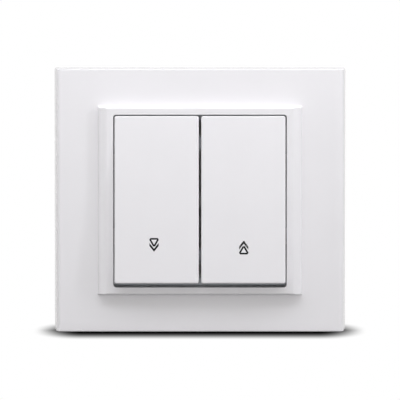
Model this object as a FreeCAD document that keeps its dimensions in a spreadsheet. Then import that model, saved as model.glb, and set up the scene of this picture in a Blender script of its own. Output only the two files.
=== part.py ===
import FreeCAD, Part
import math
import os
import re
import Sketcher

# Roller shutter switch for a round wall box: two tall rockers side by side in a wide cover frame.
# X runs to the right and Z up, as the switch hangs. Y runs into the wall, whose face is Y = 0, and
# the origin is the middle of the fixing-screw pattern on that face. Lengths are in millimetres and
# angles in degrees. The names that end in "front" are distances out of the wall.

doc = FreeCAD.newDocument("shutter_switch")
dims = doc.addObject("Spreadsheet::Sheet", "dims")

SIZES = {
    # Cover frame
    "plate_wide": 90.0,
    "plate_high": 81.4,
    "plate_front": 8.0,
    "plate_wall": 2.0,
    "plate_roll": 1.4,
    "plate_lean": 5.0,
    "plate_edge": 0.4,
    "border_wide": 63.0,
    "flank_wide": 2.8,
    "border_high": 57.6,
    "border_proud": 3.0,
    "flank_curve": 3.3,
    "border_edge": 0.3,
    "border_cove": 0.8,
    "opening_side": 53.5,
    "opening_corner": 0.9,
    "collar_wall": 1.5,
    "rib_wall": 1.2,
    "rib_place": 14.0,
    "catch_proud": 0.8,
    "catch_wide": 5.0,
    "catch_place": 11.5,
    # Rocker caps
    "rocker_wide": 25.95,
    "rocker_high": 51.65,
    "rocker_pitch": 26.75,
    "rocker_deep": 5.6,
    "rocker_skin": 1.8,
    "rocker_wall": 1.4,
    "rocker_edge": 0.4,
    "rocker_corner": 0.6,
    "rocker_draft": 1.0,
    "face_front": 12.8,
    "rest_tilt": 4.0,
    "hook_wall": 1.2,
    "hook_wide": 6.0,
    "hook_barb": 0.6,
    # Levers, pin, plungers and springs
    "cell_place": 9.5,
    "pivot_front": 4.2,
    "pin_thick": 2.0,
    "lever_wide": 14.0,
    "lever_high": 24.0,
    "lever_skin": 1.6,
    "lever_front": 5.0,
    "hub_curve": 2.3,
    "cheek_wall": 1.5,
    "tube_curve": 2.8,
    "tube_bore": 1.9,
    "tube_reach": 6.2,
    "tube_floor": 1.6,
    "plunger_curve": 1.8,
    "plunger_reach": 9.8,
    "plunger_long": 5.2,
    "spring_wire": 0.35,
    "spring_curve": 1.75,
    "spring_place": 8.8,
    "spring_turns": 3.0,
    "push_wire": 0.3,
    "push_curve": 1.35,
    "push_turns": 2.5,
    "coil_steps": 16,
    # Bearing cover
    "cover_side": 48.0,
    "cover_thick": 1.8,
    "cover_corner": 2.0,
    "cover_notch": 8.6,
    "window_wide": 15.0,
    "window_high": 9.2,
    "post_wide": 1.7,
    "post_middle": 3.0,
    "post_high": 4.4,
    "post_top": 1.7,
    "ear_thick": 1.0,
    # Support ring
    "ring_side": 71.0,
    "ring_thick": 1.0,
    "ring_corner": 10.0,
    "ring_window_wide": 35.0,
    "ring_window_high": 27.0,
    "fixing_pitch": 60.0,
    "fixing_slot": 6.4,
    "fixing_hole": 2.1,
    # Housing
    "body_wide": 38.0,
    "body_high": 44.0,
    "body_deep": 22.0,
    "body_corner": 5.0,
    "body_wall": 1.6,
    "cavity_deep": 10.15,
    "boss_wide": 6.8,
    "boss_reach": 14.2,
    "partition_wall": 2.0,
    "core_floor": 1.9,
    "cover_screw_place": 17.5,
    "cover_screw_thick": 2.2,
    "cover_screw_head": 2.1,
    "cover_screw_rise": 1.3,
    "cover_screw_bite": 8.1,
    "driver_slot": 0.7,
    # Contacts and terminals
    "bar_thick": 0.8,
    "strip_thick": 0.8,
    "strip_wide": 6.0,
    "strip_high": 18.0,
    "swing_back": 6.6,
    "swing_tilt": 8.0,
    "knife_thick": 0.7,
    "tip_curve": 1.5,
    "tip_thick": 0.8,
    "fixed_tip_thick": 0.55,
    "tip_place": 8.0,
    "clamp_place_x": 8.5,
    "clamp_place_z": 16.8,
    "clamp_side": 7.0,
    "clamp_deep": 9.35,
    "wire_bore": 1.7,
    "wire_deep": 8.0,
    "wire_inlet": 5.2,
    "clamp_screw": 1.0,
    "clamp_screw_head": 2.1,
    # Claws
    "claw_stand": 3.6,
    "claw_long": 15.5,
    "claw_thick": 1.2,
    "claw_slot": 1.9,
    "claw_wide": 12.0,
    "claw_head": 16.0,
    "claw_fork": 5.6,
    "claw_foot": 7.0,
    "claw_tilt": 15.5,
    "claw_screw_stand": 2.6,
    "claw_screw_curve": 1.5,
    "claw_screw_head": 2.1,
    "claw_screw_rise": 1.8,
    "claw_screw_long": 21.5,
    "wedge_thin": 1.0,
    "wedge_thick": 4.8,
    "wedge_long": 7.05,
    "wedge_back": 14.4,
    "wedge_wide": 11.0,
    "wedge_block": 5.0,
    # Fits
    "running_gap": 0.06,
    "seat_gap": 0.02,
    "loose_gap": 0.3,
    "close_gap": 0.1,
}

# Places worked out from the sizes above
WORKED = {
    "plate_x": "plate_wide / 2",
    "plate_z": "plate_high / 2",
    "plate_flat": "plate_x - (plate_roll + sin(plate_lean) * (plate_front - plate_roll)) / cos(plate_lean)",
    "roll_x": "plate_flat + plate_roll * cos(plate_lean)",
    "roll_front": "plate_front - plate_roll * (1 - sin(plate_lean))",
    "border_front": "plate_front + border_proud",
    "border_flat": "border_wide - 2 * flank_wide",
    "opening_half": "opening_side / 2",
    "collar_half": "opening_half + collar_wall",
    "cover_front": "ring_thick + cover_thick",
    "cover_half": "cover_side / 2",
    "rocker_x": "rocker_pitch / 2",
    "face_reach": "face_front - pivot_front",
    "pin_curve": "pin_thick / 2",
    "lever_back": "lever_front - lever_skin",
    "body_x": "body_wide / 2",
    "body_z": "body_high / 2",
    "cavity_x": "body_x - body_wall",
    "cavity_z": "body_z - body_wall",
    "bar_back": "cavity_deep - bar_thick",
    "tip_back": "bar_back - fixed_tip_thick",
    "fixing_x": "fixing_pitch / 2",
    "hook_z": "lever_high / 2 + seat_gap",
    "clamp_floor": "cavity_deep + clamp_deep + close_gap",
    "clamp_mid": "cavity_deep + clamp_deep - wire_deep / 2 + clamp_screw / 4",
    "hinge_y": "ring_thick / 2",
    "ear_front": "cover_front + ear_thick",
    "catch_front": "cover_front - close_gap",
    "wedge_x": "side_x + loose_gap",
    "window_edge": "cell_place + window_wide / 2 + post_wide + loose_gap",
    "side_x": "max(body_x; ring_window_wide / 2 + body_wall - close_gap; window_edge)",
    "claw_screw_place": "side_x + claw_screw_stand",
    "claw_place": "claw_screw_place + claw_stand",
}

for row, (name, size) in enumerate(SIZES.items(), start=1):
    dims.set(f"A{row}", name)
    dims.set(f"B{row}", str(size))
    dims.setAlias(f"B{row}", name)
doc.recompute()

NODES = []
RIGHT = FreeCAD.Vector(1, 0, 0)
INWARD = FreeCAD.Vector(0, 1, 0)
UP = FreeCAD.Vector(0, 0, 1)


def formula(text):
    """The sheet's expression for a line of size names."""

    def swap(found):
        word = found.group(0)
        if word in SIZES:
            return "dims." + word
        if word in WORKED:
            return "(" + formula(WORKED[word]) + ")"
        return word

    return re.sub(r"[a-z_]+", swap, str(text))


def measure(text):
    """The value of a line of size names."""
    return float(dims.evalExpression(formula(text)))


def bind(item, **links):
    for place, text in links.items():
        item.setExpression(place.replace("__", "."), formula(text))


def keep(item, name):
    """Make an object one of the switch's pieces."""
    item.Label = name
    NODES.append(item)
    return item


def new_body(name):
    return keep(doc.addObject("PartDesign::Body", name), name)


def new_sketch(body, role, name, lift="0"):
    """A sketch on one of the body's planes. On XZ_Plane lift runs out of the wall."""
    sketch = body.newObject("Sketcher::SketchObject", name)
    plane = next(f for f in body.Origin.OriginFeatures if f.Role == role)
    sketch.AttachmentSupport = [(plane, "")]
    sketch.MapMode = "FlatFace"
    bind(sketch, AttachmentOffset__Base__z=lift)
    return sketch


def fix_value(sketch, kind, *where_and_text):
    """A constraint whose value follows the sheet."""
    *where, text = where_and_text
    index = sketch.addConstraint(Sketcher.Constraint(kind, *where, measure(text)))
    sketch.setExpression(f"Constraints[{index}]", formula(text))


def outline(sketch, *corners):
    """A closed outline through its corners, counter-clockwise round a solid.

    A corner is (across, up), or (across, up, radius) where an arc that bulges to the right leads on
    from it, or (across, up, "half") where a half circle does. A negative radius bulges left.
    """
    first = len(sketch.Geometry)
    count = len(corners)
    spots = [FreeCAD.Vector(measure(c[0]), measure(c[1]), 0) for c in corners]
    ends = []
    for k, corner in enumerate(corners):
        here, there = spots[k], spots[(k + 1) % count]
        if len(corner) == 2:
            sketch.addGeometry(Part.LineSegment(here, there))
            ends.append((1, 2))
            continue
        chord = there - here
        half = chord.Length / 2
        radius = half if corner[2] == "half" else measure(corner[2])
        bulge = math.copysign(abs(radius) - math.sqrt(max(radius**2 - half**2, 0)), radius)
        across = FreeCAD.Vector(chord.y, -chord.x, 0).normalize()
        sketch.addGeometry(Part.Arc(here, (here + there) / 2 + across * bulge, there))
        starts_here = (sketch.Geometry[-1].StartPoint - here).Length < 1e-6
        ends.append((1, 2) if starts_here else (2, 1))
    for k, corner in enumerate(corners):
        line, following = first + k, first + (k + 1) % count
        sketch.addConstraint(
            Sketcher.Constraint("Coincident", line, ends[k][1], following, ends[(k + 1) % count][0])
        )
        fix_value(sketch, "DistanceX", -1, 1, line, ends[k][0], corner[0])
        fix_value(sketch, "DistanceY", -1, 1, line, ends[k][0], corner[1])
        if len(corner) == 3 and corner[2] == "half":
            upright = abs(spots[k].x - spots[(k + 1) % count].x) < 1e-6
            kind = "DistanceX" if upright else "DistanceY"
            fix_value(sketch, kind, -1, 1, line, 3, corner[0] if upright else corner[1])
        elif len(corner) == 3:
            fix_value(sketch, "Radius", line, corner[2].lstrip("-"))


def circle(sketch, across, up, radius):
    line = len(sketch.Geometry)
    spot = FreeCAD.Vector(measure(across), measure(up), 0)
    sketch.addGeometry(Part.Circle(spot, FreeCAD.Vector(0, 0, 1), measure(radius)))
    fix_value(sketch, "DistanceX", -1, 1, line, 3, across)
    fix_value(sketch, "DistanceY", -1, 1, line, 3, up)
    fix_value(sketch, "Radius", line, radius)


def small_hole(sketch, across, up, radius):
    """A hole for a small screw, drawn with twelve flats."""
    outline(
        sketch,
        *[(f"{across} + ({radius}) * cos({30 * k})", f"{up} + ({radius}) * sin({30 * k})")
          for k in range(12)],
    )


def box_outline(sketch, left, right, low, high):
    outline(sketch, (left, low), (right, low), (right, high), (left, high))


def round_outline(sketch, wide, high, radius):
    """A rectangle about the middle with rounded corners; wide and high are its halves."""
    outline(
        sketch,
        (f"-({wide}) + {radius}", f"-({high})"),
        (f"{wide} - ({radius})", f"-({high})", radius),
        (wide, f"-({high}) + {radius}"),
        (wide, f"{high} - ({radius})", radius),
        (f"{wide} - ({radius})", high),
        (f"-({wide}) + {radius}", high, radius),
        (f"-({wide})", f"{high} - ({radius})"),
        (f"-({wide})", f"-({high}) + {radius}", radius),
    )


def cut_corner_outline(sketch, wide, high, corner):
    """A rectangle about the middle with its corners cut at 45 degrees."""
    outline(
        sketch,
        (f"-({wide}) + {corner}", f"-({high})"),
        (f"{wide} - {corner}", f"-({high})"),
        (wide, f"-({high}) + {corner}"),
        (wide, f"{high} - {corner}"),
        (f"{wide} - {corner}", high),
        (f"-({wide}) + {corner}", high),
        (f"-({wide})", f"{high} - {corner}"),
        (f"-({wide})", f"-({high}) + {corner}"),
    )


def pad(body, sketch, length, name, way="out"):
    """way is out along the plane's normal, back against it, or both."""
    feature = body.newObject("PartDesign::Pad", name)
    feature.Profile = sketch
    bind(feature, Length=length)
    feature.Reversed = way == "back"
    feature.Midplane = way == "both"
    doc.recompute()
    return feature


def pocket(body, sketch, depth, name, way="back"):
    """way is back against the plane's normal, or out along it."""
    before = body.Shape.Volume
    feature = body.newObject("PartDesign::Pocket", name)
    feature.Profile = sketch
    bind(feature, Length=depth)
    feature.Reversed = way == "out"
    feature.Midplane = way == "both"
    doc.recompute()
    if feature.Shape.Volume > before - 1e-4:
        raise ValueError(f"{body.Label}: {name} takes nothing away")
    return feature


def edges_where(shape, test):
    return [f"Edge{k}" for k, edge in enumerate(shape.Edges, start=1) if test(edge)]


def fillet(body, base, radius, name, test):
    feature = body.newObject("PartDesign::Fillet", name)
    feature.Base = (base, edges_where(base.Shape, test))
    bind(feature, Radius=radius)
    doc.recompute()
    return feature


def mirrored(body, feature, role, name):
    copy = body.newObject("PartDesign::Mirrored", name)
    copy.Originals = [feature]
    plane = next(f for f in body.Origin.OriginFeatures if f.Role == role)
    copy.MirrorPlane = (plane, [""])
    body.Tip = copy
    doc.recompute()
    return copy


def lies_at(edge, axis, value):
    """Whether an edge lies in the plane where one coordinate has a value."""
    low, high = (getattr(edge.BoundBox, axis + side) for side in ("Min", "Max"))
    return abs(low - value) < 1e-4 and abs(high - value) < 1e-4


def brick(name, x, y, z, wide, deep, high):
    """A plain block from its low corner."""
    item = doc.addObject("Part::Box", name)
    bind(item, Length=wide, Width=deep, Height=high)
    bind(item, Placement__Base__x=x, Placement__Base__y=y, Placement__Base__z=z)
    return item


def rod(name, radius, length, x, y, z, way):
    """A round rod from the middle of one end, along way."""
    item = doc.addObject("Part::Cylinder", name)
    item.Placement = FreeCAD.Placement(FreeCAD.Vector(), FreeCAD.Rotation(UP, way))
    bind(item, Radius=radius, Height=length)
    bind(item, Placement__Base__x=x, Placement__Base__y=y, Placement__Base__z=z)
    return item


def stud(name, radius, length, x, y, z, way):
    """A small round piece with twelve flats, from the middle of one end, along way."""
    item = doc.addObject("Part::Prism", name)
    item.Polygon = 12
    item.Placement = FreeCAD.Placement(FreeCAD.Vector(), FreeCAD.Rotation(UP, way))
    bind(item, Circumradius=radius, Height=length)
    bind(item, Placement__Base__x=x, Placement__Base__y=y, Placement__Base__z=z)
    return item


def join(name, *items):
    item = doc.addObject("Part::MultiFuse", name)
    item.Shapes = list(items)
    return item


def take(name, base, tool):
    item = doc.addObject("Part::Cut", name)
    item.Base = base
    item.Tool = tool
    return item


def group(name, *items):
    """Separate solids of one node, such as like screws."""
    item = doc.addObject("Part::Compound", name)
    item.Links = list(items)
    return item


def set_down(item, x, y, z, axis=RIGHT, angle="0"):
    """Turn a piece about its own origin and put that origin at a place in the switch."""
    place = FreeCAD.Vector(measure(x), measure(y), measure(z))
    item.Placement = FreeCAD.Placement(place, FreeCAD.Rotation(axis, measure(angle)))


def coil(name, wire, radius, length, turns):
    """A compression spring that rises from its own origin, of square wire in short straight steps."""
    half = measure(wire) / 2
    lift = half + measure("close_gap") / 2
    rise = measure(length) - 2 * lift
    per_turn = measure("coil_steps")
    steps = round(measure(turns) * per_turn)
    spots = []
    for k in range(steps + 1):
        around = FreeCAD.Rotation(UP, 360 * k / per_turn).multVec(RIGHT * measure(radius))
        spots.append(around + UP * (lift + rise * k / steps))
    heading = (spots[1] - spots[0]).normalize()
    side = heading.cross(UP).normalize()
    over = side.cross(heading)
    corners = [spots[0] + side * (a * half) + over * (b * half)
               for a, b in ((1, 1), (-1, 1), (-1, -1), (1, -1), (1, 1))]
    item = doc.addObject("Part::Feature", name)
    item.Shape = Part.makePolygon(spots).makePipeShell([Part.makePolygon(corners)], True, True, 1)
    return item


# Cover frame: one moulding. A wide plate with leaning, rolled sides and flat ends carries a raised
# border with arched flanks round the opening, and its square collar reaches to the support ring.
frame = new_body("cover_frame")
plate_line = new_sketch(frame, "XY_Plane", "plate_line")
outline(
    plate_line,
    ("-plate_flat", "-plate_front"),
    ("plate_flat", "-plate_front", "plate_roll"),
    ("roll_x", "-roll_front"),
    ("plate_x", "0"),
    ("-plate_x", "0"),
    ("-roll_x", "-roll_front", "plate_roll"),
)
plate = pad(frame, plate_line, "plate_high", "plate", "both")
plate_face, plate_end = -measure("plate_front"), measure("plate_z")


def rim_edge(edge):
    at_end = lies_at(edge, "Z", plate_end) or lies_at(edge, "Z", -plate_end)
    return at_end and not lies_at(edge, "Y", 0)


fillet(frame, plate, "plate_edge", "plate_edge_round", rim_edge)
arch = new_sketch(frame, "XY_Plane", "border_arch")
outline(
    arch,
    ("-border_flat / 2", "-border_front"),
    ("border_flat / 2", "-border_front", "flank_curve"),
    ("border_wide / 2", "-plate_front"),
    ("border_wide / 2", "-plate_front + plate_wall / 2"),
    ("-border_wide / 2", "-plate_front + plate_wall / 2"),
    ("-border_wide / 2", "-plate_front", "flank_curve"),
)
border = pad(frame, arch, "border_high", "border", "both")
border_end = measure("border_high / 2")
border_face = -measure("border_front")


def cove_edge(edge):
    at_end = lies_at(edge, "Z", border_end) or lies_at(edge, "Z", -border_end)
    return at_end and lies_at(edge, "Y", plate_face) and edge.Length > border_end


def end_edge(edge):
    at_end = lies_at(edge, "Z", border_end) or lies_at(edge, "Z", -border_end)
    return at_end and lies_at(edge, "Y", border_face)


cove = fillet(frame, border, "border_cove", "border_cove_round", cove_edge)
fillet(frame, cove, "border_edge", "border_edge_round", end_edge)
hole_line = new_sketch(frame, "XZ_Plane", "opening_line")
round_outline(hole_line, "opening_half", "opening_half", "opening_corner")
pocket(frame, hole_line, "border_front", "opening", "out")
hollow_line = new_sketch(frame, "XZ_Plane", "hollow_line")
inside_x, inside_z = "(plate_x - plate_wall - plate_roll / 2)", "(plate_z - plate_wall)"
box_outline(hollow_line, f"-{inside_x}", inside_x, f"-{inside_z}", inside_z)
box_outline(hollow_line, "-collar_half", "collar_half", "-collar_half", "collar_half")
pocket(frame, hollow_line, "plate_front - plate_wall", "hollow", "out")
trim_line = new_sketch(frame, "XZ_Plane", "collar_trim_line")
box_outline(trim_line, "-collar_half", "collar_half", "-collar_half", "collar_half")
pocket(frame, trim_line, "ring_thick + loose_gap", "collar_trim", "out")
core_line = new_sketch(frame, "XZ_Plane", "flank_core_line", "plate_front - plate_wall")
for side in (-1, 1):
    near, far = f"{side} * collar_half", f"{side} * (border_flat / 2 + border_proud / 2)"
    low, high = (near, far) if side > 0 else (far, near)
    box_outline(core_line, low, high, "-border_high / 2 + plate_wall", "border_high / 2 - plate_wall")
pocket(frame, core_line, "border_proud", "flank_core", "out")
rib_line = new_sketch(frame, "XZ_Plane", "rib_line", "plate_front - plate_wall")
half_rib = "rib_wall / 2"
for side in (-1, 1):
    spot = f"{side} * rib_place"
    for way in (-1, 1):
        near, far = f"{way} * collar_half", f"{way} * {inside_x}"
        low, high = (near, far) if way > 0 else (far, near)
        box_outline(rib_line, low, high, f"{spot} - {half_rib}", f"{spot} + {half_rib}")
        near, far = f"{way} * collar_half", f"{way} * {inside_z}"
        low, high = (near, far) if way > 0 else (far, near)
        box_outline(rib_line, f"{spot} - {half_rib}", f"{spot} + {half_rib}", low, high)
pad(frame, rib_line, "plate_front - plate_wall - ring_thick - 2 * close_gap", "ribs", "back")
catch_line = new_sketch(frame, "XY_Plane", "catch_line", "catch_place")
for side in (-1, 1):
    wall = f"{side} * opening_half"
    nose = f"{side} * (opening_half - catch_proud)"
    points = [
        (wall, "-catch_front"),
        (nose, "-catch_front + catch_proud / 4"),
        (nose, "-catch_front + catch_proud / 2"),
        (wall, "-ring_thick - loose_gap"),
    ]
    outline(catch_line, *(points if side < 0 else points[::-1]))
catch = pad(frame, catch_line, "catch_wide", "catches", "both")
mirrored(frame, catch, "XY_Plane", "catches_both_ends")

# Rocker caps: hollow mouldings with drafted skirts. Each grips its lever with two hooks, above and
# below. A cap is drawn about its pivot, with its face level, and set down at its rest tilt.
for side, name in ((-1, "rocker_down"), (1, "rocker_up")):
    cap = new_body(name)
    face_line = new_sketch(cap, "XZ_Plane", name + "_face_line", "face_reach")
    round_outline(face_line, "rocker_wide / 2", "rocker_high / 2", "rocker_corner")
    shell = pad(cap, face_line, "rocker_deep", name + "_block", "back")
    bind(shell, TaperAngle="rocker_draft")
    doc.recompute()
    face = -measure("face_reach")
    fillet(cap, shell, "rocker_edge", name + "_edge", lambda e: lies_at(e, "Y", face))
    inner_line = new_sketch(cap, "XZ_Plane", name + "_inner_line", "face_reach - rocker_deep")
    inner_x, inner_z = "(rocker_wide / 2 - rocker_wall)", "(rocker_high / 2 - rocker_wall)"
    box_outline(inner_line, f"-{inner_x}", inner_x, f"-{inner_z}", inner_z)
    pocket(cap, inner_line, "rocker_deep - rocker_skin", name + "_inside", "out")
    middle = f"{side} * (cell_place - rocker_x)"
    rest_line = new_sketch(cap, "XZ_Plane", name + "_rest_line", "lever_front")
    for way in (-1, 1):
        spot = f"{middle} + {way} * lever_wide / 3"
        box_outline(rest_line, f"{spot} - rib_wall / 2", f"{spot} + rib_wall / 2", "-hook_z", "hook_z")
    pad(cap, rest_line, "face_reach - rocker_skin - lever_front", name + "_rests")
    hook_line = new_sketch(cap, "YZ_Plane", name + "_hook_line", middle)
    for way in (-1, 1):
        root, tip = f"{way} * hook_z", f"{way} * (hook_z - hook_barb)"
        outer = f"{way} * (hook_z + hook_wall)"
        points = [
            ("-face_reach + rocker_skin", root),
            ("-lever_back + seat_gap", root),
            ("-lever_back + seat_gap", tip),
            ("-lever_back + hook_wall", root),
            ("-lever_back + hook_wall", outer),
            ("-face_reach + rocker_skin", outer),
        ]
        outline(hook_line, *(points if way > 0 else points[::-1]))
    pad(cap, hook_line, "hook_wide", name + "_hooks", "both")
    set_down(cap, f"{side} * rocker_x", "-pivot_front", "0", RIGHT, "-rest_tilt")

# Levers: a flat cradle for the cap, a hub on the pivot pin and a tube that holds the plunger.
for side, end in ((-1, "down"), (1, "up")):
    lever = new_body("lever_" + end)
    skin_line = new_sketch(lever, "XZ_Plane", end + "_cradle_line", "lever_back")
    box_outline(skin_line, "-lever_wide / 2", "lever_wide / 2", "-lever_high / 2", "lever_high / 2")
    pad(lever, skin_line, "lever_skin", end + "_cradle")
    cheek_line = new_sketch(lever, "YZ_Plane", end + "_cheek_line")
    outline(
        cheek_line,
        ("-lever_back", "-hub_curve * 2"),
        ("0", "-hub_curve", "half"),
        ("0", "hub_curve"),
        ("-lever_back", "hub_curve * 2"),
    )
    pad(lever, cheek_line, "lever_wide", end + "_cheeks", "both")
    gap_line = new_sketch(lever, "YZ_Plane", end + "_gap_line")
    box_outline(gap_line, "-lever_back", "hub_curve + close_gap", "-hub_curve * 2", "hub_curve * 2")
    pocket(lever, gap_line, "lever_wide - 2 * cheek_wall", end + "_between_cheeks", "both")
    hub_line = new_sketch(lever, "YZ_Plane", end + "_hub_line")
    circle(hub_line, "0", "0", "hub_curve")
    pad(lever, hub_line, "lever_wide", end + "_hub", "both")
    tube_line = new_sketch(lever, "XZ_Plane", end + "_tube_line", "-tube_reach")
    box_outline(tube_line, "-tube_curve", "tube_curve", "-tube_curve", "tube_curve")
    pad(lever, tube_line, "tube_reach + lever_back", end + "_tube")
    bore_line = new_sketch(lever, "XZ_Plane", end + "_tube_bore_line", "-tube_reach")
    circle(bore_line, "0", "0", "tube_bore")
    pocket(lever, bore_line, "tube_reach - tube_floor", end + "_tube_bore", "out")
    pin_line = new_sketch(lever, "YZ_Plane", end + "_pin_line")
    circle(pin_line, "0", "0", "pin_curve + running_gap")
    pocket(lever, pin_line, "lever_wide * 2", end + "_pin_bore", "both")
    place = f"{side} * cell_place"
    set_down(lever, place, "-pivot_front", "0", RIGHT, "-rest_tilt")

    stem = rod(end + "_stem", "plunger_curve", "plunger_long - plunger_curve", "0",
               "plunger_reach - plunger_long", "0", INWARD)
    nose = doc.addObject("Part::Cone", end + "_nose")
    nose.Placement = FreeCAD.Placement(FreeCAD.Vector(), FreeCAD.Rotation(UP, INWARD))
    bind(nose, Radius1="plunger_curve", Radius2="plunger_curve / 3", Height="plunger_curve",
         Placement__Base__y="plunger_reach - plunger_curve")
    plunger = keep(join("plunger_" + end, stem, nose), "plunger_" + end)
    set_down(plunger, place, "-pivot_front", "0", RIGHT, "-rest_tilt")

    push_long = "plunger_reach - plunger_long - tube_floor"
    push = keep(coil("plunger_spring_" + end, "push_wire", "push_curve", push_long, "push_turns"),
                "plunger_spring_" + end)
    lean = FreeCAD.Rotation(RIGHT, -measure("rest_tilt"))
    pivot = FreeCAD.Vector(measure(place), -measure("pivot_front"), 0)
    floor_spot = lean.multVec(FreeCAD.Vector(0, measure("tube_floor"), 0))
    push.Placement = FreeCAD.Placement(pivot + floor_spot, lean * FreeCAD.Rotation(UP, INWARD))

    # The return spring stands between the bearing cover and the cradle's lower arm
    cradle_reach = "lever_back / cos(rest_tilt) + (spring_place - spring_curve) * tan(rest_tilt)"
    spring = keep(
        coil("return_spring_" + end, "spring_wire", "spring_curve",
             f"pivot_front + {cradle_reach} - cover_front", "spring_turns"),
        "return_spring_" + end,
    )
    seat = FreeCAD.Vector(measure(place), -measure("cover_front"), -measure("spring_place"))
    spring.Placement = FreeCAD.Placement(seat, FreeCAD.Rotation(UP, -INWARD))

# Pivot pin: one steel axle through both levers
pin = keep(rod("pivot_pin", "pin_curve", "2 * (side_x - close_gap)", "-side_x + close_gap",
               "-pivot_front", "0", RIGHT), "pivot_pin")

# Bearing cover: closes the mechanism from the front, carries the pin on three posts, and has the
# ears that the cover frame snaps behind.
cover = new_body("bearing_cover")
cover_line = new_sketch(cover, "XZ_Plane", "cover_line", "ring_thick")
round_outline(cover_line, "cover_half", "cover_half", "cover_corner")
pad(cover, cover_line, "cover_thick", "cover_plate")
post_line = new_sketch(cover, "XZ_Plane", "post_line", "cover_front")
box_outline(post_line, "-post_middle / 2", "post_middle / 2", "-post_high / 2", "post_high / 2")
for side in (-1, 1):
    ends = [f"{side} * (side_x - close_gap)", f"{side} * (side_x - close_gap - post_wide)"]
    low, high = ends if side < 0 else ends[::-1]
    box_outline(post_line, low, high, "-post_high / 2", "post_high / 2")
pad(cover, post_line, "pivot_front + post_top - cover_front", "posts")
ear_line = new_sketch(cover, "XZ_Plane", "ear_line", "cover_front")
ear_x = "(opening_half - catch_proud / 2)"
for side in (-1, 1):
    for way in (-1, 1):
        ends = [f"{side} * (cover_half - ear_thick)", f"{side} * {ear_x}"]
        low, high = ends if side > 0 else ends[::-1]
        spot = f"{way} * catch_place"
        box_outline(ear_line, low, high, f"{spot} - catch_wide / 2", f"{spot} + catch_wide / 2")
pad(cover, ear_line, "ear_thick", "ears")
opening_line = new_sketch(cover, "XZ_Plane", "cover_opening_line", "ear_front")
for side in (-1, 1):
    spot = f"{side} * cell_place"
    box_outline(opening_line, f"{spot} - window_wide / 2", f"{spot} + window_wide / 2",
                "-window_high / 2", "window_high / 2")
    small_hole(opening_line, "0", f"{side} * cover_screw_place", "cover_screw_thick / 2 + close_gap")
pocket(cover, opening_line, "ear_front", "cover_openings")
notch_line = new_sketch(cover, "XZ_Plane", "notch_line", "ear_front")
for side in (-1, 1):
    ends = [f"{side} * (side_x + close_gap)", f"{side} * (cover_half + ear_thick)"]
    low, high = ends if side > 0 else ends[::-1]
    box_outline(notch_line, low, high, "-cover_notch", "cover_notch")
pocket(cover, notch_line, "ear_front", "claw_notches")
pin_hole_line = new_sketch(cover, "YZ_Plane", "pin_hole_line")
circle(pin_hole_line, "-pivot_front", "0", "pin_curve + seat_gap")
pocket(cover, pin_hole_line, "cover_side", "pin_hole", "both")

# Support ring: zinc-plated sheet steel, screwed to the box through four slots
ring = new_body("support_ring")
ring_line = new_sketch(ring, "XZ_Plane", "ring_line")
cut_corner_outline(ring_line, "ring_side / 2", "ring_side / 2", "ring_corner")
pad(ring, ring_line, "ring_thick", "ring_plate")
punch = new_sketch(ring, "XZ_Plane", "punch_line", "ring_thick")
box_outline(punch, "-ring_window_wide / 2", "ring_window_wide / 2",
            "-ring_window_high / 2", "ring_window_high / 2")
run = "(fixing_slot / 2 - fixing_hole)"
for side in (-1, 1):
    spot = f"{side} * fixing_x"
    outline(
        punch,
        (f"{spot} - {run}", "-fixing_hole"),
        (f"{spot} + {run}", "-fixing_hole", "half"),
        (f"{spot} + {run}", "fixing_hole"),
        (f"{spot} - {run}", "fixing_hole", "half"),
    )
    outline(
        punch,
        ("fixing_hole", f"{spot} - {run}"),
        ("fixing_hole", f"{spot} + {run}", "half"),
        ("-fixing_hole", f"{spot} + {run}"),
        ("-fixing_hole", f"{spot} - {run}", "half"),
    )
    small_hole(punch, "0", f"{side} * cover_screw_place", "cover_screw_thick / 2 + close_gap")
    circle(punch, f"{side} * claw_screw_place", "0", "claw_screw_curve + close_gap")
    slot = f"{side} * claw_place"
    box_outline(punch, f"{slot} - claw_slot / 2", f"{slot} + claw_slot / 2",
                "-claw_wide / 2 - loose_gap", "claw_wide / 2 + loose_gap")
pocket(ring, punch, "ring_thick", "punched_holes")

# Base housing: one moulding with a cavity for the contacts, four pockets for the terminals, and
# a cored back. Its front rim seats on the back of the support ring.
base = new_body("base_housing")
base_line = new_sketch(base, "XZ_Plane", "base_line")
cut_corner_outline(base_line, "body_x", "body_z", "body_corner")
pad(base, base_line, "body_deep", "base_block", "back")
cavity_line = new_sketch(base, "XZ_Plane", "cavity_line")
quarter = [
    ("cavity_x", "cavity_z - body_corner + body_wall / 2"),
    ("cavity_x - body_corner + body_wall / 2", "cavity_z"),
    ("boss_wide / 2", "cavity_z"),
    ("boss_wide / 2", "boss_reach"),
]
minus = [(f"-({x})", f"-({z})") for x, z in quarter]
outline(
    cavity_line,
    *quarter,
    *[(f"-({x})", z) for x, z in reversed(quarter)],
    *minus,
    *[(x, f"-({z})") for x, z in reversed(quarter)],
)
pocket(base, cavity_line, "cavity_deep", "cavity")
pocket_line = new_sketch(base, "XZ_Plane", "clamp_pocket_line", "-cavity_deep")
inlet_line = new_sketch(base, "XZ_Plane", "inlet_line", "-body_deep")
half_clamp = "(clamp_side / 2 + close_gap)"
for side in (-1, 1):
    for way in (-1, 1):
        x, z = f"{side} * clamp_place_x", f"{way} * clamp_place_z"
        box_outline(pocket_line, f"{x} - {half_clamp}", f"{x} + {half_clamp}",
                    f"{z} - {half_clamp}", f"{z} + {half_clamp}")
        box_outline(inlet_line, f"{x} - wire_inlet / 2", f"{x} + wire_inlet / 2",
                    f"{z} - wire_inlet / 2", f"{z} + wire_inlet / 2")
pocket(base, pocket_line, "clamp_floor - cavity_deep", "clamp_pockets")
pocket(base, inlet_line, "body_deep - clamp_floor", "wire_inlets", "out")
core_line = new_sketch(base, "XZ_Plane", "core_line", "-body_deep")
core_half = "(clamp_place_z - clamp_side / 2 - 2 * body_wall)"
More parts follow.
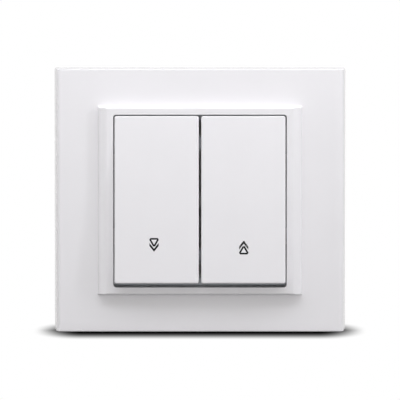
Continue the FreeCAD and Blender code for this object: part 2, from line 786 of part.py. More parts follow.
cut_corner_outline(core_line, "cavity_x - body_wall", core_half, "body_wall")
pocket(base, core_line, "body_deep - cavity_deep - core_floor", "cored_back", "out")
wall_line = new_sketch(base, "XZ_Plane", "partition_line", "-body_wall")
box_outline(wall_line, "-partition_wall / 2", "partition_wall / 2", "-boss_reach", "boss_reach")
pad(base, wall_line, "bar_back - body_wall - loose_gap", "partition", "back")
stop_line = new_sketch(base, "XZ_Plane", "stop_line", "-tip_back")
box_outline(stop_line, "cell_place - tip_curve", "cell_place + tip_curve",
            "-tip_place - tip_curve", "-tip_place + tip_curve")
pad(base, stop_line, "cavity_deep - tip_back", "rest_stop", "back")
boss_hole = new_sketch(base, "XZ_Plane", "boss_hole_line")
for way in (-1, 1):
    small_hole(boss_hole, "0", f"{way} * cover_screw_place", "cover_screw_thick / 2 - close_gap")
pocket(base, boss_hole, "cavity_deep", "boss_holes")
driver_line = new_sketch(base, "XY_Plane", "driver_line", "body_z")
for side in (-1, 1):
    small_hole(driver_line, f"{side} * clamp_place_x", "clamp_mid", "clamp_screw_head + loose_gap")
driver = pocket(base, driver_line, "body_wall", "driver_holes")
mirrored(base, driver, "XY_Plane", "driver_holes_both_ends")

# Cover screws: two pan heads that hold cover, ring and housing together
screws = []
for way in (-1, 1):
    tag = "top" if way > 0 else "bottom"
    z = f"{way} * cover_screw_place"
    head = stud(f"cover_screw_head_{tag}", "cover_screw_head", "cover_screw_rise",
               "0", "-cover_front - cover_screw_rise", z, INWARD)
    shank = stud(f"cover_screw_shank_{tag}", "cover_screw_thick / 2 - close_gap - seat_gap",
                "cover_front + cover_screw_bite", "0", "-cover_front", z, INWARD)
    slot = brick(f"cover_screw_slot_{tag}", "-cover_screw_head", "-cover_front - cover_screw_rise",
                 f"{z} - driver_slot / 2", "cover_screw_head * 2", "cover_screw_rise / 2",
                 "driver_slot")
    whole = join(f"cover_screw_whole_{tag}", head, shank)
    screws.append(take(f"cover_screw_{tag}", whole, slot))
keep(group("cover_screws", *screws), "cover_screws")

# Moving contacts: brass seesaws that rock on a knife edge, with a silver tip at each end. Each is
# drawn about its knife edge and set down with its lower end back.
for side, end in ((-1, "down"), (1, "up")):
    seesaw = new_body("moving_contact_" + end)
    strip_line = new_sketch(seesaw, "YZ_Plane", end + "_strip_line")
    outline(
        strip_line,
        ("-strip_thick", "-strip_high / 2 + strip_thick / 2"),
        ("-strip_thick / 2", "-strip_high / 2"),
        ("0", "-strip_high / 2"),
        ("0", "strip_high / 2"),
        ("-strip_thick / 2", "strip_high / 2"),
        ("-strip_thick", "strip_high / 2 - strip_thick / 2"),
    )
    pad(seesaw, strip_line, "strip_wide", end + "_strip", "both")
    groove_line = new_sketch(seesaw, "YZ_Plane", end + "_groove_line")
    circle(groove_line, "close_gap / 2", "0", "knife_thick / 2 + close_gap")
    pocket(seesaw, groove_line, "strip_wide", end + "_groove", "both")
    place = f"{side} * cell_place"
    set_down(seesaw, place, "swing_back", "0", RIGHT, "swing_tilt")
    tips = [
        stud(f"{end}_tip_{way}", "tip_curve", "tip_thick", "0", "0", f"{way} * tip_place", INWARD)
        for way in (-1, 1)
    ]
    pair = keep(group("moving_tips_" + end, *tips), "moving_tips_" + end)
    set_down(pair, place, "swing_back", "0", RIGHT, "swing_tilt")


def add_knife(body, name, place):
    """The upright edge that a moving contact rocks on."""
    line = new_sketch(body, "YZ_Plane", name + "_line", place)
    half = "knife_thick / 2"
    knife_y = "(swing_back + close_gap / 2)"
    outline(
        line,
        ("bar_back", half),
        (knife_y, half, "half"),
        (knife_y, f"-{half}"),
        ("bar_back", f"-{half}"),
    )
    pad(body, line, "strip_wide", name, "both")


# Feed bar: brings the live terminals to the left moving contact
half_strip = "(strip_wide / 2)"
left, right = "(-cell_place)", "(cell_place)"
clamp_edge = "(clamp_place_z - clamp_side / 2)"
tab_half = "(clamp_side / 2 - bar_thick)"
feed = new_body("feed_bar")
feed_line = new_sketch(feed, "XZ_Plane", "feed_line", "-bar_back")
feed_low, feed_high = f"-{clamp_edge} + bar_thick / 2", f"-{clamp_edge} + bar_thick * 3"
feed_side = "(-cavity_x + bar_thick)"
tab_end = "-clamp_place_z - clamp_side / 3"
outline(
    feed_line,
    (f"{left} + {half_strip}", "knife_thick * 2"),
    (feed_side, "knife_thick * 2"),
    (feed_side, feed_low),
    (f"-clamp_place_x - {tab_half}", feed_low),
    (f"-clamp_place_x - {tab_half}", tab_end),
    (f"-clamp_place_x + {tab_half}", tab_end),
    (f"-clamp_place_x + {tab_half}", feed_low),
    (f"clamp_place_x - {tab_half}", feed_low),
    (f"clamp_place_x - {tab_half}", tab_end),
    (f"clamp_place_x + {tab_half}", tab_end),
    (f"clamp_place_x + {tab_half}", feed_high),
    (f"{left} - {half_strip} - bar_thick * 1.5", feed_high),
    (f"{left} - {half_strip} - bar_thick * 1.5", "-knife_thick * 2"),
    (f"{left} + {half_strip}", "-knife_thick * 2"),
)
pad(feed, feed_line, "bar_thick", "feed_strip", "back")
add_knife(feed, "feed_knife", left)

# Link bar: carries the left contact's rest side to the right moving contact, so that only one
# direction can be live at a time
link = new_body("link_bar")
link_line = new_sketch(link, "XZ_Plane", "link_line", "-bar_back")
outline(
    link_line,
    (f"{left} - {half_strip} + loose_gap", "-tip_place - tip_curve - loose_gap"),
    (f"{right} - {half_strip} - bar_thick * 2", "-tip_place - tip_curve - loose_gap"),
    (f"{right} - {half_strip} - bar_thick * 2", "-knife_thick * 2"),
    (f"{right} + {half_strip}", "-knife_thick * 2"),
    (f"{right} + {half_strip}", "knife_thick * 2"),
    ("partition_wall", "knife_thick * 2"),
    ("partition_wall", "-tip_place + tip_curve / 2"),
    (f"{left} + {half_strip} - loose_gap", "-tip_place + tip_curve / 2"),
    (f"{left} + {half_strip} - loose_gap", "-tip_place + tip_curve + loose_gap"),
    (f"{left} - {half_strip} + loose_gap", "-tip_place + tip_curve + loose_gap"),
)
pad(link, link_line, "bar_thick", "link_strip", "back")
add_knife(link, "link_knife", right)

# Fixed contacts: one above each moving contact, riveted to its terminal
for side, end in ((-1, "down"), (1, "up")):
    fixed = new_body("fixed_contact_" + end)
    fixed_line = new_sketch(fixed, "XZ_Plane", end + "_fixed_line", "-bar_back")
    place, clamp = f"{side} * cell_place", f"{side} * clamp_place_x"
    neck = f"{clamp_edge} - bar_thick"
    outline(
        fixed_line,
        (f"{place} - {half_strip}", "tip_place - tip_curve - loose_gap"),
        (f"{place} + {half_strip}", "tip_place - tip_curve - loose_gap"),
        (f"{place} + {half_strip}", neck),
        (f"{clamp} + {tab_half}", neck),
        (f"{clamp} + {tab_half}", f"-({tab_end})"),
        (f"{clamp} - {tab_half}", f"-({tab_end})"),
        (f"{clamp} - {tab_half}", neck),
        (f"{place} - {half_strip}", neck),
    )
    pad(fixed, fixed_line, "bar_thick", end + "_fixed_strip", "back")
fixed_tips = [
    stud(f"fixed_tip_{k}", "tip_curve", "fixed_tip_thick", place, "tip_back", f"{way} * tip_place",
         INWARD)
    for k, (place, way) in enumerate(((left, 1), (right, 1), (left, -1)), start=1)
]
keep(group("fixed_contact_tips", *fixed_tips), "fixed_contact_tips")

# Terminals: brass blocks with a wire bore from the back and a clamping screw from above or below,
# shown open
heads = []
for side in (-1, 1):
    for way in (-1, 1):
        name = {(-1, 1): "terminal_down", (1, 1): "terminal_up",
                (-1, -1): "terminal_feed", (1, -1): "terminal_loop"}[side, way]
        x, z = f"{side} * clamp_place_x", f"{way} * clamp_place_z"
        solid = brick(name + "_block", f"{x} - clamp_side / 2", "cavity_deep",
                      f"{z} - clamp_side / 2", "clamp_side", "clamp_deep", "clamp_side")
        wire = rod(name + "_wire", "wire_bore", "wire_deep", x,
                   "cavity_deep + clamp_deep - wire_deep", z, INWARD)
        thread = stud(name + "_thread", "clamp_screw + running_gap", "clamp_side / 2", x, "clamp_mid",
                     z, UP * way)
        bored = take(name + "_bored", solid, wire)
        keep(take(name, bored, thread), name)
        shank_z = f"{z} + {way} * (wire_bore + close_gap)"
        shank = stud(name + "_shank", "clamp_screw", "clamp_side / 2 - wire_bore", x, "clamp_mid",
                    shank_z, UP * way)
        head = stud(name + "_head", "clamp_screw_head", "body_wall - close_gap", x, "clamp_mid",
                   f"{z} + {way} * (clamp_side / 2 + close_gap)", UP * way)
        slot_z = f"{z} + {way} * (clamp_side / 2 + body_wall) - body_wall / 4"
        slot = brick(name + "_slot", f"{x} - clamp_screw_head", "clamp_mid - driver_slot / 2",
                     slot_z, "clamp_screw_head * 2", "driver_slot", "body_wall / 2")
        heads.append(take(name + "_screw", join(name + "_screw_whole", shank, head), slot))
keep(group("terminal_screws", *heads), "terminal_screws")

# Claws: forked steel straps that hang in the support ring and swing out as a wedge nut is drawn
# forward on its screw
for side, end in ((-1, "left"), (1, "right")):
    claw = new_body("claw_" + end)
    strap_line = new_sketch(claw, "YZ_Plane", end + "_strap_line")
    half_claw, half_fork, half_head = "(claw_wide / 2)", "(claw_fork / 2)", "(claw_head / 2)"
    strap_end = "claw_long - claw_thick / 2"
    shoulder = "-hinge_y - loose_gap"
    outline(
        strap_line,
        (f"{shoulder} - claw_thick", f"-{half_head}"),
        (shoulder, f"-{half_head}"),
        (shoulder, f"-{half_claw}"),
        (strap_end, f"-{half_claw}"),
        (strap_end, f"-{half_fork}"),
        ("claw_thick * 3", f"-{half_fork}"),
        ("claw_thick * 3", half_fork),
        (strap_end, half_fork),
        (strap_end, half_claw),
        (shoulder, half_claw),
        (shoulder, half_head),
        (f"{shoulder} - claw_thick", half_head),
    )
    pad(claw, strap_line, "claw_thick", end + "_strap", "both")
    foot_line = new_sketch(claw, "XZ_Plane", end + "_foot_line", "-claw_long + claw_thick")
    inner, bridge = f"{-side} * claw_thick / 2", f"{side} * claw_foot / 2"
    notch, tooth = f"{side} * (claw_foot - claw_thick)", f"{side} * claw_foot"
    points = [
        (inner, f"-{half_claw}"),
        (notch, f"-{half_claw}"),
        (tooth, f"-{half_claw} + claw_thick"),
        (notch, f"-{half_fork} + claw_thick"),
        (notch, f"{half_fork} - claw_thick"),
        (tooth, f"{half_claw} - claw_thick"),
        (notch, half_claw),
        (inner, half_claw),
        (inner, half_fork),
        (bridge, half_fork),
        (bridge, f"-{half_fork}"),
        (inner, f"-{half_fork}"),
    ]
    outline(foot_line, *(points if side > 0 else points[::-1]))
    pad(claw, foot_line, "claw_thick", end + "_foot", "back")
    set_down(claw, f"{side} * claw_place", "-hinge_y", "0", UP, f"{side} * claw_tilt")

    screw_x = f"{side} * claw_screw_place"
    head = stud(end + "_claw_screw_head", "claw_screw_head", "claw_screw_rise", screw_x,
               "-ring_thick - claw_screw_rise - close_gap", "0", INWARD)
    shank = rod(end + "_claw_screw_shank", "claw_screw_curve", "claw_screw_long", screw_x,
                "-ring_thick - close_gap", "0", INWARD)
    slot = brick(end + "_claw_screw_slot", f"{screw_x} - claw_screw_head",
                 "-ring_thick - claw_screw_rise - close_gap", "-driver_slot / 2",
                 "claw_screw_head * 2", "claw_screw_rise / 2", "driver_slot")
    keep(take("claw_screw_" + end, join(end + "_claw_screw_whole", head, shank), slot),
         "claw_screw_" + end)

    nut = new_body("claw_nut_" + end)
    wedge_line = new_sketch(nut, "XY_Plane", end + "_wedge_line")
    near, thin = f"{side} * wedge_x", f"{side} * (wedge_x + wedge_thin)"
    thick, far = f"{side} * (wedge_x + wedge_thick)", "wedge_back + wedge_long"
    points = [(near, "wedge_back"), (thin, "wedge_back"), (thick, far), (near, far)]
    outline(wedge_line, *(points if side > 0 else points[::-1]))
    pad(nut, wedge_line, "wedge_wide", end + "_wedge", "both")
    block_line = new_sketch(nut, "XY_Plane", end + "_block_line")
    points = [(near, "wedge_back"), (thick, "wedge_back"), (thick, far), (near, far)]
    outline(block_line, *(points if side > 0 else points[::-1]))
    pad(nut, block_line, "wedge_block", end + "_block", "both")
    nut_hole = new_sketch(nut, "XZ_Plane", end + "_nut_hole_line", "-wedge_back")
    circle(nut_hole, screw_x, "0", "claw_screw_curve + running_gap")
    pocket(nut, nut_hole, "wedge_long", end + "_nut_hole")

doc.recompute()
for item in doc.Objects:
    if "Invalid" in item.State or "Error" in item.State:
        raise ValueError(f"{item.Name} did not build: {item.State}")
for item in NODES:
    if item.Shape.isNull() or not item.Shape.isValid():
        raise ValueError(f"{item.Label} has no valid shape")

os.makedirs("parts", exist_ok=True)
for item in NODES:
    item.Shape.exportStep(f"parts/{item.Label}.step")
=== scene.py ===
import math

import bpy
from mathutils import Matrix, Vector


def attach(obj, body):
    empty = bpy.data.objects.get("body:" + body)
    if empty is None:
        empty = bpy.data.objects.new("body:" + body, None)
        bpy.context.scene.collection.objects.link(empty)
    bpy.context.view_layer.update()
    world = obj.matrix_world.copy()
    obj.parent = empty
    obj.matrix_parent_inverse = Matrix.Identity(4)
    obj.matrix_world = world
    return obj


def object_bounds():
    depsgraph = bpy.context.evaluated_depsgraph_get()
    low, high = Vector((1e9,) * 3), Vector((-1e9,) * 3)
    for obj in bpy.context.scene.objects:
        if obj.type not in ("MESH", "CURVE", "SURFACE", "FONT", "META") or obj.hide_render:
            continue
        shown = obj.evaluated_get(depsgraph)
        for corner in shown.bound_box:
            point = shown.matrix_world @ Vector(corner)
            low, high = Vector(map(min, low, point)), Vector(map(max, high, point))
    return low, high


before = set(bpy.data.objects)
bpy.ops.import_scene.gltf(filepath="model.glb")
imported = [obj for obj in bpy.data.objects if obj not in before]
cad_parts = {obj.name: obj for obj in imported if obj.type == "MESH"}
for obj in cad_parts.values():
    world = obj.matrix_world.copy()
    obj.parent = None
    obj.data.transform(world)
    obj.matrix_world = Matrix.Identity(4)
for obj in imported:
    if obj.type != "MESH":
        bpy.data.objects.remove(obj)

solid_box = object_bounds()

# Camera: straight in front of the switch and a little above its middle, far enough off that the
# frame's sides stay upright.
MM = 0.001
CAMERA_AWAY = 2400 * MM
CAMERA_RISE = math.radians(4.3)
CAMERA_AIM = Vector((0.0, -8.0, 0.15)) * MM
VIEW_WIDE = 123.55 * MM
VIEW_NEAR = 10 * MM
FILM_WIDE = 36.0
lens_data = bpy.data.cameras.new("studio_camera")
lens_data.sensor_width = FILM_WIDE
lens_data.lens = FILM_WIDE * CAMERA_AWAY / VIEW_WIDE
lens_data.clip_start = VIEW_NEAR
camera = bpy.data.objects.new("studio_camera", lens_data)
bpy.context.collection.objects.link(camera)
line_of_sight = Vector((0.0, math.cos(CAMERA_RISE), -math.sin(CAMERA_RISE)))
camera.location = CAMERA_AIM - line_of_sight * CAMERA_AWAY
camera.rotation_euler = line_of_sight.to_track_quat("-Z", "Y").to_euler()
bpy.context.scene.camera = camera
bpy.context.scene.view_settings.view_transform = "Standard"


# Studio: a long soft box close overhead, which casts the shade under the border, a tall strip on
# each side, a soft box in front to the right, and a white room round them. The room's light is
# even from the horizon down and fades out overhead.
def linear(hex_colour):
    """An sRGB hex colour as linear RGBA."""
    shares = [int(hex_colour[k:k + 2], 16) / 255 for k in (0, 2, 4)]
    return tuple(s / 12.92 if s <= 0.04045 else ((s + 0.055) / 1.055) ** 2.4 for s in shares) + (1.0,)


def add_node(tree, kind, sockets, **settings):
    """Add a shader node. sockets maps an input to a value, or to the output that feeds it."""
    node = tree.nodes.new("ShaderNode" + kind)
    for name, value in settings.items():
        setattr(node, name, value)
    for place, value in sockets.items():
        if isinstance(value, bpy.types.NodeSocket):
            tree.links.new(value, node.inputs[place])
        else:
            node.inputs[place].default_value = value
    return node


def seen_white(tree):
    """1 for a ray that shows the white room: the camera's, through glass or off a gloss. Else 0."""
    ray = add_node(tree, "LightPath", {})
    through = add_node(tree, "Math", {0: ray.outputs["Is Camera Ray"],
                                      1: ray.outputs["Is Transmission Ray"]}, operation="MAXIMUM")
    return add_node(tree, "Math", {0: through.outputs[0], 1: ray.outputs["Is Glossy Ray"]},
                    operation="MAXIMUM").outputs[0]


# Each lamp's place, what it points at and its two sides in metres, and its power in watts.
LAMP_COLOUR = "F9FAFF"
for name, place, target, wide, high, watts in (
    ("overhead_soft_box", (0.01, -0.145, 0.204), (0.0, -0.01, 0.0), 0.6, 0.11, 0.69),
    ("right_strip_box", (0.7, -0.39, 0.05), (0.0, 0.0, 0.0), 0.05, 0.9, 1.7),
    ("right_soft_box", (0.32, -0.62, 0.06), (0.0, 0.0, 0.0), 0.3, 0.5, 0.3),
    ("left_strip_box", (-0.76, -0.14, 0.03), (0.0, 0.0, 0.0), 0.05, 0.9, 1.06),
):
    lamp = bpy.data.lights.new(name, "AREA")
    lamp.shape = "RECTANGLE"
    lamp.size = wide
    lamp.size_y = high
    lamp.energy = watts
    lamp.color = linear(LAMP_COLOUR)[:3]
    box = bpy.data.objects.new(name, lamp)
    bpy.context.collection.objects.link(box)
    box.location = place
    box.rotation_euler = (Vector(target) - box.location).to_track_quat("-Z", "Y").to_euler()

ROOM_COLOUR = "FCFBF5"
ROOM_LEVEL = 0.8
ROOM_TOP = 0.0
room = bpy.data.worlds.new("white_room")
room.use_nodes = True
bpy.context.scene.world = room
tree = room.node_tree
tree.nodes.clear()
seen = seen_white(tree)
white = add_node(tree, "Background", {"Color": linear("FFFFFF"), "Strength": 1.0})
direction = add_node(tree, "TexCoord", {})
height = add_node(tree, "SeparateXYZ", {0: direction.outputs["Generated"]})
level = add_node(tree, "MapRange", {"Value": height.outputs["Z"], "To Min": ROOM_LEVEL,
                                    "To Max": ROOM_TOP})
dim = add_node(tree, "Background", {"Color": linear(ROOM_COLOUR), "Strength": level.outputs[0]})
both = add_node(tree, "MixShader", {0: seen, 1: dim.outputs[0], 2: white.outputs[0]})
add_node(tree, "OutputWorld", {"Surface": both.outputs[0]})

# Floor: a white paper sweep that the frame's lower edge stands on. The camera, glosses and glass see
# it glow white with a painted shadow, dark only close round the frame's foot, and with painted
# contact shade where parts come near it. It is clear from below, so that the switch shows there. The
# shade's sizes are in mm.
FLOOR_LEVEL = solid_box[0].z
FLOOR_WIDE = 6.0
# The painted shadow's dark core round the foot, its reach to the side and to front and back, its
# darkest and its fall, and the reach of the painted contact shade.
FOOT_HALF_WIDE = 36.0
FOOT_HALF_DEEP = 4.0
SHADE_SIDE = 16.0
SHADE_FORE = 27.5
SHADE_DARKEST = 0.05
SHADE_FALL = 2.2
CONTACT_REACH = 6.0
PAPER_BOUNCE = "A8A8A8"
bpy.ops.object.select_all(action="DESELECT")
bpy.ops.mesh.primitive_plane_add(size=FLOOR_WIDE, location=(0.0, 0.0, FLOOR_LEVEL))
floor = bpy.context.object
floor.name = "white_floor"
bpy.ops.object.transform_apply(location=True)
sweep = bpy.data.materials.new("white_paper_sweep")
sweep.use_nodes = True
tree = sweep.node_tree
tree.nodes.clear()


def reach_past(line, foot, reach):
    """How far a place lies past the foot's half size, as a share of the shade's reach."""
    past = add_node(tree, "Math", {0: line, 1: foot * MM}, operation="SUBTRACT")
    kept = add_node(tree, "Math", {0: past.outputs[0], 1: 0.0}, operation="MAXIMUM")
    return add_node(tree, "Math", {0: kept.outputs[0], 1: reach * MM}, operation="DIVIDE").outputs[0]


# Painted shadow: darkest over the foot and fading out past it by a smooth step and a power.
place = add_node(tree, "TexCoord", {})
spot = add_node(tree, "SeparateXYZ", {0: place.outputs["Object"]})
across = add_node(tree, "Math", {0: spot.outputs["X"]}, operation="ABSOLUTE")
middle = add_node(tree, "Math", {0: spot.outputs["Y"], 1: FOOT_HALF_DEEP * MM}, operation="ADD")
along = add_node(tree, "Math", {0: middle.outputs[0]}, operation="ABSOLUTE")
away = add_node(tree, "CombineXYZ", {"X": reach_past(across.outputs[0], FOOT_HALF_WIDE, SHADE_SIDE),
                                     "Y": reach_past(along.outputs[0], FOOT_HALF_DEEP, SHADE_FORE)})
far = add_node(tree, "VectorMath", {0: away.outputs[0]}, operation="LENGTH")
soft = add_node(tree, "MapRange", {"Value": far.outputs["Value"], "To Min": SHADE_DARKEST},
                interpolation_type="SMOOTHSTEP")
shade = add_node(tree, "Math", {0: soft.outputs[0], 1: SHADE_FALL}, operation="POWER")
seen = seen_white(tree)
# Painted contact shade: the glowing white is darkened where other parts lie within reach of the
# floor.
near = add_node(tree, "AmbientOcclusion", {"Distance": CONTACT_REACH * MM}, samples=16,
                only_local=False)
shown = add_node(tree, "Emission", {"Color": near.outputs["Color"], "Strength": shade.outputs[0]})
paper = add_node(tree, "BsdfDiffuse", {"Color": linear(PAPER_BOUNCE)})
both = add_node(tree, "MixShader", {0: seen, 1: paper.outputs[0], 2: shown.outputs[0]})
under = add_node(tree, "NewGeometry", {})
clear = add_node(tree, "BsdfTransparent", {})
sheet = add_node(tree, "MixShader", {0: under.outputs["Backfacing"], 1: both.outputs[0],
                                     2: clear.outputs[0]})
add_node(tree, "OutputMaterial", {"Surface": sheet.outputs[0]})
floor.data.materials.append(sweep)


# Cover frame: one moulding of white ABS from a spark-eroded tool, snapped on the bearing cover's
# ears. It has a satin sheen, and the melt's flow clouds its colour and gloss very faintly. Its
# grain, some hundredths of a millimetre in the real tool, is drawn coarser so that it shows.
def moulded_plastic(name, light, dark, gloss, grain, grain_deep, cloud):
    """A moulded thermoplastic: two near shades in clouds, and a fine grain, with sizes in mm.

    A range of gloss stays on one side of 0.27: the denoiser leaves patches where it crosses that.
    """
    finish = bpy.data.materials.new(name)
    finish.use_nodes = True
    tree = finish.node_tree
    tree.nodes.clear()
    place = add_node(tree, "TexCoord", {})
    flow = add_node(tree, "TexNoise", {"Vector": place.outputs["Object"], "Scale": 1000 / cloud,
                                       "Detail": 3.0, "Roughness": 0.5})
    shade = add_node(tree, "Mix", {"Factor": flow.outputs["Fac"], "A": linear(dark),
                                   "B": linear(light)}, data_type="RGBA")
    sheen = add_node(tree, "MapRange", {"Value": flow.outputs["Fac"], "To Min": gloss[0],
                                        "To Max": gloss[1]})
    speckle = add_node(tree, "TexNoise", {"Vector": place.outputs["Object"], "Scale": 1000 / grain,
                                          "Detail": 2.0, "Roughness": 0.6})
    relief = add_node(tree, "Bump", {"Height": speckle.outputs["Fac"], "Distance": grain_deep * MM,
                                     "Strength": 1.0})
    surface = add_node(tree, "BsdfPrincipled", {"Roughness": sheen.outputs[0], "IOR": 1.53,
                                                "Normal": relief.outputs[0]})
    tree.links.new(shade.outputs["Result"], surface.inputs["Base Color"])
    add_node(tree, "OutputMaterial", {"Surface": surface.outputs[0]})
    return finish


def finish_node(node, finish):
    """Give a CAD node its finish."""
    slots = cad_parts[node].data.materials
    slots.clear()
    slots.append(finish)


white_abs = moulded_plastic("white_abs_moulded", "F6F4F6", "F3F1F3", (0.21, 0.26), 0.35, 0.004, 14)
finish_node("cover_frame", white_abs)

# Rocker caps: two hollow caps that snap on the levers, moulded in the frame's white ABS from a
# finer tool, so a shade glossier.
rocker_abs = moulded_plastic("white_abs_fine", "F6F4F6", "F3F1F3", (0.2, 0.25), 0.35, 0.003, 12)
for node in ("rocker_down", "rocker_up"):
    finish_node(node, rocker_abs)

# Printed marks: black two-part ink, laid by a pad as thin flat strokes on the rockers' faces. A
# hollow triangle with an angle round its tip points the way that the shutter runs. Sizes are in mm.
PIVOT = Vector((0.0, -4.2, 0.0)) * MM
FACE_REACH = 8.6
REST_TILT = math.radians(-4.0)
HALF_BASE = 1.8
CORNER_CUT = 0.65
SIDE_STROKE = 0.52
HALF_ANGLE = 1.42
ANGLE_STROKE = 0.57
INK_THICK = 0.02
SAME_POINT = 0.001
ink = moulded_plastic("black_pad_print", "08080A", "040405", (0.5, 0.6), 0.2, 0.002, 3)
ink.node_tree.nodes["Principled BSDF"].inputs["Specular IOR Level"].default_value = 0.2


def printed_mark(name, middle, base, tip, ends, elbow, body):
    """A hollow triangle from its base to its tip, and an angle from its two ends to its elbow.

    They are heights above the pivot, up the rocker's face, and the middle is their place across it.
    """
    slope = math.hypot(1.0, (elbow - ends) / HALF_ANGLE)
    upright = ANGLE_STROKE * slope / 2
    bpy.ops.object.select_all(action="DESELECT")
    bpy.ops.mesh.primitive_circle_add(vertices=3, fill_type="NGON")
    mark = bpy.context.object
    mark.name = name
    corners = ((0.0, tip), (-HALF_BASE, base), (HALF_BASE, base))
    for vertex, (x, z) in zip(mark.data.vertices, corners):
        vertex.co = Vector((x, z, 0.0))
    bpy.ops.object.mode_set(mode="EDIT")
    bpy.ops.mesh.select_all(action="SELECT")
    bpy.ops.mesh.bevel(offset=CORNER_CUT, segments=1, affect="VERTICES")
    bpy.ops.mesh.inset(thickness=SIDE_STROKE, depth=0.0)
    bpy.ops.mesh.delete(type="FACE")
    bpy.ops.object.mode_set(mode="OBJECT")
    for side in (-1, 1):
        bpy.ops.object.select_all(action="DESELECT")
        bpy.ops.mesh.primitive_plane_add()
        arm = bpy.context.object
        corners = ((0.0, elbow - upright), (side * HALF_ANGLE, ends - upright),
                   (0.0, elbow + upright), (side * HALF_ANGLE, ends + upright))
        for vertex, (x, z) in zip(arm.data.vertices, corners):
            vertex.co = Vector((x, z, 0.0))
        mark.select_set(True)
        bpy.context.view_layer.objects.active = mark
        bpy.ops.object.join()
    bpy.ops.object.mode_set(mode="EDIT")
    bpy.ops.mesh.select_all(action="SELECT")
    bpy.ops.mesh.remove_doubles(threshold=SAME_POINT)
    bpy.ops.mesh.normals_make_consistent(inside=False)
    bpy.ops.object.mode_set(mode="OBJECT")
    if mark.data.polygons[0].normal.z < 0:
        mark.data.flip_normals()
    film = mark.modifiers.new("film", "SOLIDIFY")
    film.thickness = INK_THICK
    film.offset = 1.0
    bpy.ops.object.modifier_apply(modifier=film.name)
    lay = Matrix.Rotation(math.radians(90), 4, "X")
    on_face = Matrix.Translation((middle, -FACE_REACH, 0.0))
    mark.matrix_world = (Matrix.Translation(PIVOT) @ Matrix.Rotation(REST_TILT, 4, "X")
                         @ Matrix.Scale(MM, 4) @ on_face @ lay)
    bpy.ops.object.transform_apply(location=True, rotation=True, scale=True)
    mark.data.materials.append(ink)
    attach(mark, body)


printed_mark("mark_down", middle=-14.17, base=-11.8, tip=-14.98, ends=-13.8, elbow=-15.58,
             body="down_key")
printed_mark("mark_up", middle=13.48, base=-16.88, tip=-13.74, ends=-14.95, elbow=-13.05,
             body="up_key")


# Levers and plungers: acetal moulded with no colour, a little waxy to the eye. It is slippery, so
# the levers turn on the pin and the plungers slide along the contacts with no grease.
acetal = moulded_plastic("natural_acetal", "E4E2DA", "DAD8CF", (0.38, 0.46), 0.3, 0.003, 6)
for node in ("lever_down", "lever_up", "plunger_down", "plunger_up"):
    finish_node(node, acetal)


# Springs and pivot pin: drawn spring steel, coiled or cut to length, with faint lines from the die.
# The pin runs through both levers and the cover's posts. Die and rolling lines, too fine to show
# in the real metals, are drawn wider.
CLOUD_STREAKS = 12


def worked_metal(name, light, dark, gloss, streak, stretch, relief_deep):
    """A bare or plated metal with streaks of a width in mm, stretched along X, Y and Z."""
    finish = bpy.data.materials.new(name)
    finish.use_nodes = True
    tree = finish.node_tree
    tree.nodes.clear()
    place = add_node(tree, "TexCoord", {})
    along = add_node(tree, "Mapping", {"Vector": place.outputs["Object"], "Scale": stretch})
    lines = add_node(tree, "TexNoise", {"Vector": along.outputs[0], "Scale": 1000 / streak,
                                        "Detail": 4.0, "Roughness": 0.6})
    cloud = add_node(tree, "TexNoise", {"Vector": place.outputs["Object"],
                                        "Scale": 1000 / (streak * CLOUD_STREAKS), "Detail": 2.0})
    shade = add_node(tree, "Mix", {"Factor": cloud.outputs["Fac"], "A": linear(dark),
                                   "B": linear(light)}, data_type="RGBA")
    sheen = add_node(tree, "MapRange", {"Value": lines.outputs["Fac"], "To Min": gloss[0],
                                        "To Max": gloss[1]})
    relief = add_node(tree, "Bump", {"Height": lines.outputs["Fac"], "Distance": relief_deep * MM})
    surface = add_node(tree, "BsdfPrincipled", {"Roughness": sheen.outputs[0], "Metallic": 1.0,
                                                "Normal": relief.outputs[0]})
    tree.links.new(shade.outputs["Result"], surface.inputs["Base Color"])
    add_node(tree, "OutputMaterial", {"Surface": surface.outputs[0]})
    return finish


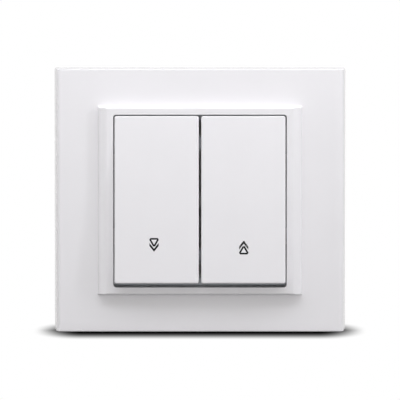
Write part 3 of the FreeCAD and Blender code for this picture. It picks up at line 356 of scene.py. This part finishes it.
spring_steel = worked_metal("drawn_spring_steel", "B9BBBE", "9C9EA2", (0.28, 0.38), 0.08,
                            (1.0, 1.0, 1.0), 0.003)
for node in ("return_spring_down", "return_spring_up", "plunger_spring_down", "plunger_spring_up",
             "pivot_pin"):
    finish_node(node, spring_steel)

# Support ring, claws, nuts and screws: low-carbon steel, stamped or cold-headed, with bright zinc
# on it that clouds to a bluish grey.
zinc_plate = worked_metal("bright_zinc_plate", "CFD2D6", "B4B8BE", (0.3, 0.42), 0.25,
                          (1.0, 1.0, 0.2), 0.004)
for node in ("support_ring", "cover_screws", "terminal_screws", "claw_left", "claw_right",
             "claw_screw_left", "claw_screw_right", "claw_nut_left", "claw_nut_right"):
    finish_node(node, zinc_plate)

# Current-carrying parts: bars and contacts stamped from rolled brass strip, and terminals cut from
# drawn brass, all dulled a little by handling. They lie in the housing's cavity and pockets.
rolled_brass = worked_metal("rolled_brass", "D9BC77", "BE9A52", (0.28, 0.4), 0.15,
                            (1.0, 1.0, 0.15), 0.003)
for node in ("moving_contact_down", "moving_contact_up", "feed_bar", "link_bar",
             "fixed_contact_down", "fixed_contact_up", "terminal_down", "terminal_up",
             "terminal_feed", "terminal_loop"):
    finish_node(node, rolled_brass)

# Contact tips: discs of fine silver, welded on the moving and fixed contacts, with a soft bright
# face.
fine_silver = worked_metal("fine_silver", "ECE8E0", "D4CFC6", (0.28, 0.36), 0.2,
                           (1.0, 1.0, 1.0), 0.002)
for node in ("moving_tips_down", "moving_tips_up", "fixed_contact_tips"):
    finish_node(node, fine_silver)

# Bearing cover: off-white polycarbonate, matt from a coarser tool. Two screws hold it, the support
# ring and the base housing together, and its three posts carry the pivot pin.
cover_plastic = moulded_plastic("matt_polycarbonate", "ECECE8", "E4E4E0", (0.5, 0.6), 0.4, 0.008, 10)
finish_node("bearing_cover", cover_plastic)

# Base housing: light grey polyamide filled with glass, whose fibres leave a faint mottling. It is
# moulded with the contacts' cavity and the terminals' pockets, and its rim seats on the back of
# the support ring.
filled_polyamide = moulded_plastic("glass_filled_polyamide", "D2D3D2", "C4C6C6", (0.42, 0.56), 0.3,
                                   0.01, 5)
finish_node("base_housing", filled_polyamide)
